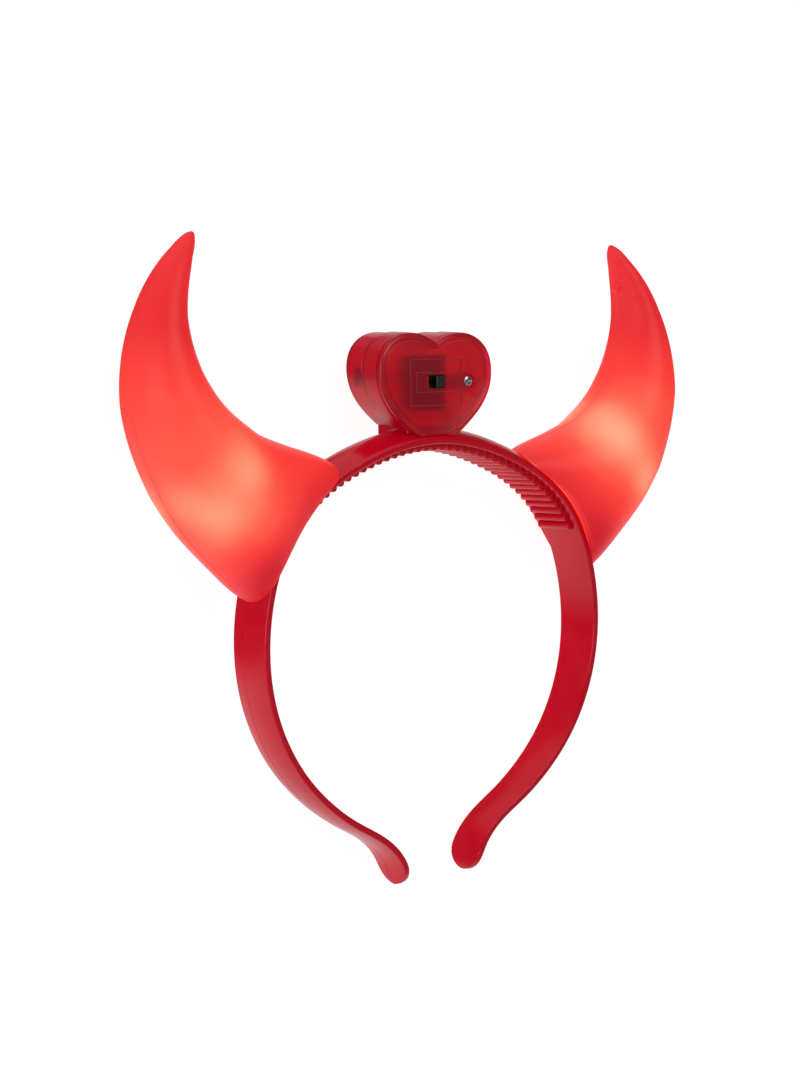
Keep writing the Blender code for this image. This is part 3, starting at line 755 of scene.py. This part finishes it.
# %% [markdown]
# The box is a heart drawn once and repeated at several depths, so its edges can be rounded by moving each
# ring in a little. The front cover has a raised double rim, then a flat face that lies back a third of a
# millimetre. All three shells are hollow: the wall is 1.6 mm, and what is inside shows through it.

# %% The heart's outline and shells
HEART_OUTLINE = [(0.0, 113.4), (3.6, 115.2), (9.5, 116.3), (16.0, 114.9), (20.7, 110.4), (21.9, 105.0),
                 (21.1, 100.0), (18.2, 94.8), (13.6, 90.2), (7.4, 85.6), (0.0, 81.4)]
HEART_TRIM = 84.5
HEART_LEAN = 0.07
HEART_WALL = 1.6
CUP_FLOOR = 91.0
FRONT, FRONT_SEAM, BACK_SEAM, BACK = -8.0, -6.0, 1.2, 9.6
BACK_STEP = 0.4
FACE = FRONT + 0.35
GAP = 0.3


def heart_places(inset, floor=0.0, lift=0.0, count=72):
    """Both halves of the outline, moved in by inset and up by lift, over a flat floor where one is given."""
    knots = chord_lengths(np.array(HEART_OUTLINE))
    line = spline(HEART_OUTLINE, knots, np.linspace(0, knots[-1], 1200))
    run = np.gradient(line, axis=0)
    run /= np.hypot(*run.T)[:, None]
    moved = line + inset * np.column_stack([run[:, 1], -run[:, 0]])
    last = np.flatnonzero(line[:, 1] > HEART_TRIM)[-1]
    picks = np.linspace(0, last, count).round().astype(int)
    right = [(max(x, 0.2), max(z + lift, floor)) for x, z in moved[picks]]
    return right + [(-x, z) for x, z in reversed(right)]


def heart_ring(y, inset=0.0, floor=0.0):
    """Outline at one depth; the box leans up a little towards its back."""
    return [Vector((x, y, z)) for x, z in heart_places(inset, floor, HEART_LEAN * (y - FRONT))]


def rounded_edge(face, radius, inset=0.0, steps=7):
    """Rings over a rounded edge, from the side wall to the face; face is the depth that it ends at."""
    inward = math.copysign(1.0, -face)
    return [heart_ring(face + inward * radius * (1 - math.sin(t)), inset + radius * (1 - math.cos(t)))
            for t in np.linspace(0, math.pi / 2, steps)]


def block(low, high, bevel=0.2):
    """Box between two corners with its edges bevelled."""
    bm = bmesh.new()
    bmesh.ops.create_cube(bm, size=1.0)
    bmesh.ops.scale(bm, vec=Vector(high) - Vector(low), verts=bm.verts[:])
    bmesh.ops.translate(bm, vec=(Vector(high) + Vector(low)) / 2, verts=bm.verts[:])
    if bevel:
        bmesh.ops.bevel(bm, geom=bm.edges[:], offset=bevel, offset_type="OFFSET", segments=3, profile=0.5,
                        affect="EDGES", material=-1, clamp_overlap=True)
    return bm


def rod(x, z, radius, front, back, sides=48):
    """Cylinder along Y."""
    bm = bmesh.new()
    turn = Matrix.Translation((x, (front + back) / 2, z)) @ Matrix.Rotation(math.radians(90), 4, "X")
    bmesh.ops.create_cone(bm, cap_ends=True, segments=sides, radius1=radius, radius2=radius,
                          depth=back - front, matrix=turn)
    return bm


print("heart", round(2 * max(x for x, z in heart_places(0.0)), 1), "mm wide,", BACK - FRONT, "mm deep")

# %% [markdown]
# The front cover is cut for the switch and the screw. A round boss behind the face takes the screw head's
# pull, and it shows as a faint ring through the plastic. Booleans are the honest tool here: the real holes
# are cut by pins in the mould in the same way.

# %% Front cover
SWITCH_Z = 101.8
SLOT = (6.8, 3.9)
SLOT_DEPTH = 1.8
SCREW_X = 12.6
BOSS_RADIUS = 3.1
SINK_RADIUS = 2.1
SINK_DEPTH = 1.25
BORE_RADIUS = 1.3
RIM_LINES = ((0.0, 1.45), (0.05, 1.58), (0.22, 1.72), (0.26, 1.8), (0.22, 1.88), (0.08, 2.0), (0.04, 2.12),
             (0.08, 2.24), (0.3, 2.4), (0.35, 2.5))


def cover_rows():
    """Rings from the inner face over the seam and the double rim to the outer face."""
    rows = [heart_ring(FACE + 1.3, HEART_WALL, CUP_FLOOR), heart_ring(FRONT_SEAM, HEART_WALL, CUP_FLOOR)]
    rows += [heart_ring(FRONT_SEAM, 0.25), heart_ring(FRONT_SEAM - 0.08, 0.08), heart_ring(FRONT_SEAM - 0.25)]
    rows += rounded_edge(FRONT, 1.1)
    return rows + [heart_ring(FRONT + y, inset) for y, inset in RIM_LINES]


cover = lay_down("heart_cover", shell(cover_rows()))
boss = lay_down("boss", rod(SCREW_X, SWITCH_Z, BOSS_RADIUS, FACE + 0.5, FRONT_SEAM))
sink = lay_down("sink", rod(SCREW_X, SWITCH_Z, SINK_RADIUS, FACE - 1, FACE + SINK_DEPTH))
hole = lay_down("hole", rod(SCREW_X, SWITCH_Z, BORE_RADIUS, FACE, FRONT_SEAM + 1))
slot_cut = lay_down("slot_cut", block((-SLOT[0] / 2, FACE - 1, SWITCH_Z - SLOT[1] / 2),
                                      (SLOT[0] / 2, FACE + SLOT_DEPTH, SWITCH_Z + SLOT[1] / 2), 0.0))
carve(cover, [("UNION", boss), ("DIFFERENCE", sink), ("DIFFERENCE", hole), ("DIFFERENCE", slot_cut),
              ("DIFFERENCE", band_room)])
dress(cover, box_red, ("heart_front",))
discard(boss, sink, hole, slot_cut)

# %% [markdown]
# The middle shell carries everything: it stands on the band with a broad foot and holds the screw in a post
# that is tied to the wall by a web. The rear shell closes it and steps over the foot. Small bevels at both
# seams make the dark lines that run round the box.

# %% Middle and rear shell
FOOT_HALF = 10.2
FOOT_TOP = 90.4
FOOT_BACK = 8.5
POST_RADIUS = 2.6
POST_END = 3.5
WEB_LENGTH = 8.0
WEB_HALF = 0.8
BODY_FRONT = FRONT_SEAM + GAP


def middle_rows():
    """Closed loop of rings: outside from seam to seam, and back inside."""
    front, back = BODY_FRONT, BACK_SEAM - GAP
    rows = [heart_ring(front, 0.35), heart_ring(front + 0.1, 0.1), heart_ring(front + 0.35)]
    rows += [heart_ring(y) for y in np.linspace(front + 1.5, back - 1.5, 4)]
    rows += [heart_ring(back - 0.35), heart_ring(back - 0.1, 0.1), heart_ring(back, 0.35)]
    return rows + [heart_ring(y, HEART_WALL, CUP_FLOOR) for y in (back, front)]


def rear_rows():
    """Rings from the inner face over the seam to the rounded back."""
    floor = FOOT_TOP + GAP + HEART_WALL
    rows = [heart_ring(y, HEART_WALL, floor) for y in (BACK - HEART_WALL, BACK_SEAM)]
    rows += [heart_ring(BACK_SEAM, BACK_STEP + 0.25), heart_ring(BACK_SEAM + 0.25, BACK_STEP)]
    rows += [heart_ring(y, BACK_STEP) for y in np.linspace(BACK_SEAM + 1.5, BACK - 3.0, 4)]
    return rows + rounded_edge(BACK, 1.5, BACK_STEP)


middle = lay_down("heart_middle", shell(middle_rows(), closed=True))
foot = lay_down("foot", block((-FOOT_HALF, BODY_FRONT + 0.2, HEART_TRIM),
                              (FOOT_HALF, FOOT_BACK, FOOT_TOP), 0.5))
post = lay_down("post", rod(SCREW_X, SWITCH_Z, POST_RADIUS, BODY_FRONT + 0.1, POST_END))
web = lay_down("web", block((SCREW_X, BODY_FRONT + 0.6, SWITCH_Z - WEB_HALF),
                            (SCREW_X + WEB_LENGTH, BACK_SEAM - GAP, SWITCH_Z + WEB_HALF), 0.0))
bore = lay_down("bore", rod(SCREW_X, SWITCH_Z, BORE_RADIUS, FRONT_SEAM - 0.7, 2.4))
carve(middle, [("UNION", foot), ("UNION", post), ("UNION", web), ("DIFFERENCE", bore),
               ("DIFFERENCE", band_room)])
rear = lay_down("heart_rear", shell(rear_rows()))
room = lay_down("room", block((-FOOT_HALF - GAP, BACK_SEAM - 1, HEART_TRIM - 3),
                              (FOOT_HALF + GAP, BACK + 1, FOOT_TOP + GAP), 0.0))
carve(rear, [("DIFFERENCE", room), ("DIFFERENCE", band_room)])
dress(middle, box_red, ("heart_body",))
dress(rear, box_red, ("heart_back",))
discard(foot, post, web, bore, room, band_room)

# %% [markdown]
# Two plain raised frames lie on the cover, one inside the other, round the switch. Each is a flat
# rectangle, inset once for its line, and the rim that is left gets a thickness. The rectangle's edge is
# open, so the inset has to be told to work there too: without `use_boundary` it makes no rim at all.

# %% Raised frames on the cover
LINE_SINK = 0.05
OUTER_FRAME = ((-10.6, 94.6), (9.8, 108.6), 0.34, 0.14)
INNER_FRAME = ((-8.3, 98.6), (7.9, 104.7), 0.28, 0.1)


def raised_frame(bm, low, high, line, height):
    """Adds a rectangular line to the mesh; low and high are its corners across and up."""
    size = (high[0] - low[0], high[1] - low[1])
    middle = Matrix.Translation(((low[0] + high[0]) / 2, FACE + LINE_SINK, (low[1] + high[1]) / 2))
    upright = middle @ Matrix.Rotation(math.radians(90), 4, "X") @ Matrix.Diagonal((*size, 1, 1))
    before = set(bm.faces)
    bmesh.ops.create_grid(bm, x_segments=1, y_segments=1, size=0.5, matrix=upright)
    plate = [f for f in bm.faces if f not in before]
    made = bmesh.ops.inset_region(bm, faces=plate, thickness=line, use_boundary=True, use_even_offset=True)
    rim = made["faces"]
    bmesh.ops.delete(bm, geom=[f for f in bm.faces if f not in before and f not in rim], context="FACES")
    made = bmesh.ops.extrude_face_region(bm, geom=rim)["geom"]
    raised = [v for v in made if isinstance(v, bmesh.types.BMVert)]
    bmesh.ops.translate(bm, vec=(0, -height - LINE_SINK, 0), verts=raised)


frames = bmesh.new()
raised_frame(frames, *OUTER_FRAME)
raised_frame(frames, *INNER_FRAME)
bmesh.ops.recalc_face_normals(frames, faces=frames.faces[:])
dress(lay_down("cover_frames", frames), line_red_painted_highlight)

# %% [markdown]
# The screw is a turned shape, so its profile is drawn once and spun round its axis. Two thin bars cut the
# cross. The knob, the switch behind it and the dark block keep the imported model's own bodies: they are
# plain moulded shapes already, and only need their finish.

# %% Screw, switch and dark block
SCREW_PROFILE = [(0.0, 0.0), (0.45, 0.01), (0.9, 0.05), (1.25, 0.12), (1.52, 0.24), (1.68, 0.4), (1.75, 0.6),
                 (1.75, 0.88), (1.68, 0.95), (1.0, 0.95), (1.0, 9.4), (0.85, 9.65), (0.0, 9.65)]
CROSS_REACH = 1.25
CROSS_HALF = 0.36
CROSS_DEPTH = 0.85


def screw_blank():
    """Low domed head and plain shank."""
    bm = bmesh.new()
    verts = [bm.verts.new((SCREW_X + radius, FACE + depth, SWITCH_Z)) for radius, depth in SCREW_PROFILE]
    edges = [bm.edges.new(pair) for pair in zip(verts, verts[1:])]
    bmesh.ops.spin(bm, geom=verts + edges, cent=(SCREW_X, 0, SWITCH_Z), axis=(0, 1, 0), angle=2 * math.pi,
                   steps=40, use_merge=True, use_duplicate=False)
    bmesh.ops.remove_doubles(bm, verts=bm.verts[:], dist=0.001)
    bmesh.ops.recalc_face_normals(bm, faces=bm.faces[:])
    return bm


screw = lay_down("cross_screw", screw_blank())
bars = [lay_down("bar", block((SCREW_X - a, FACE - 1, SWITCH_Z - b),
                              (SCREW_X + a, FACE + CROSS_DEPTH, SWITCH_Z + b), 0.0))
        for a, b in ((CROSS_REACH, CROSS_HALF), (CROSS_HALF, CROSS_REACH))]
carve(screw, [("DIFFERENCE", bar) for bar in bars])
dress(screw, zinc, ("cover_screw",))
discard(*bars)
for name, mat in (("switch_knob", switch_black), ("switch_housing", switch_black),
                  ("battery_holder", holder_black)):
    nodes[name].data.materials.clear()
    nodes[name].data.materials.append(mat)
print("kept from the packed model:", "switch_knob, switch_housing, battery_holder")

# %% [markdown]
# The floor is a flat white table that gives light of its own, as a product table lit from behind does, so
# the headband lies in almost no shadow. Glossy plastic shows what stands round it, so the dome is dim and
# has pale fields only where the photograph's reflections come from. The two big fills are hidden from
# reflections.

# %% Floor and light
FLOOR_SIZE = 6.0
FLOOR_DROP = 0.0002
FLOOR_GLOW = 0.93


def floor_finish():
    mat, shader = plastic("lit table", (0.25, 0.25, 0.25), 0.6, Specular_IOR_Level=0.0)
    shader.inputs["Emission Color"].default_value = (1.0, 1.0, 1.0, 1.0)
    shader.inputs["Emission Strength"].default_value = FLOOR_GLOW
    return mat


def pale_floor():
    bm = bmesh.new()
    bmesh.ops.create_grid(bm, x_segments=1, y_segments=1, size=FLOOR_SIZE / 2)
    mesh = bpy.data.meshes.new("floor")
    bm.to_mesh(mesh)
    bm.free()
    floor = bpy.data.objects.new("floor", mesh)
    floor.location.z = -FLOOR_DROP
    bpy.context.scene.collection.objects.link(floor)
    floor.data.materials.append(floor_finish())
    floor.visible_glossy = False


def soft_light(name, place, aim, size, power, mirrored_too=True):
    """Rectangular softbox that faces its aim; glossy plastic shows it unless it is a mere fill."""
    light = bpy.data.lights.new(name, "AREA")
    light.shape = "RECTANGLE"
    light.size, light.size_y = size
    light.energy = power
    obj = bpy.data.objects.new(name, light)
    obj.location = place
    obj.rotation_euler = (Vector(aim) - Vector(place)).to_track_quat("-Z", "Y").to_euler()
    obj.visible_glossy = mirrored_too
    bpy.context.scene.collection.objects.link(obj)


def dome():
    """Dim surroundings with pale fields by the wearer's feet, past the crown and low on the right."""
    world = bpy.data.worlds.new("studio")
    world.use_nodes = True
    tree = world.node_tree

    def step(source, start, end, low, high):
        made = tree.nodes.new("ShaderNodeMapRange")
        made.interpolation_type = "SMOOTHSTEP"
        tree.links.new(source, made.inputs[0])
        for key, value in enumerate((start, end, low, high), start=1):
            made.inputs[key].default_value = value
        return made.outputs[0]

    def combine(first, second, operation):
        made = tree.nodes.new("ShaderNodeMath")
        made.operation = operation
        tree.links.new(first, made.inputs[0])
        tree.links.new(second, made.inputs[1])
        return made.outputs[0]

    parts = tree.nodes.new("ShaderNodeSeparateXYZ")
    tree.links.new(tree.nodes.new("ShaderNodeTexCoord").outputs["Generated"], parts.inputs[0])
    across, along, up = parts.outputs
    feet = combine(step(along, 0.02, -0.3, 0.0, 0.7), step(up, 0.1, 0.4, 1.0, 0.2), "MULTIPLY")
    crown = step(along, 0.7, 0.95, 0.0, 0.5)
    above = step(up, -0.1, 0.15, 0.03, 0.07)
    low = step(up, -0.35, -0.55, 0.0, 0.62)
    right = combine(step(across, 0.3, 0.5, 0.0, 1.0), step(along, 0.03, 0.13, 0.0, 1.0), "MULTIPLY")
    far = step(along, 0.69, 0.78, 0.0, 0.4)
    backdrop = combine(combine(right, far, "MAXIMUM"), low, "MULTIPLY")
    level = combine(combine(combine(feet, crown, "MAXIMUM"), backdrop, "MAXIMUM"), above, "ADD")
    tree.nodes["Background"].inputs["Color"].default_value = (1.0, 1.0, 1.0, 1.0)
    tree.links.new(level, tree.nodes["Background"].inputs["Strength"])
    bpy.context.scene.world = world


pale_floor()
dome()
soft_light("over_head", (0.1, 0.55, 1.1), (0, 0, 0), (1.0, 0.6), 4.0)
soft_light("left_window", (-1.1, 0.1, 0.45), (0, 0, 0.02), (0.5, 1.0), 3.0)
soft_light("ceiling_fill", (0.0, -0.1, 1.5), (0, 0, 0), (2.0, 2.0), 3.5, mirrored_too=False)
soft_light("crown_fill", (0.0, 1.5, 0.3), (0, 0, 0), (1.6, 1.6), 2.0, mirrored_too=False)
bpy.context.scene.view_settings.view_transform = "Standard"
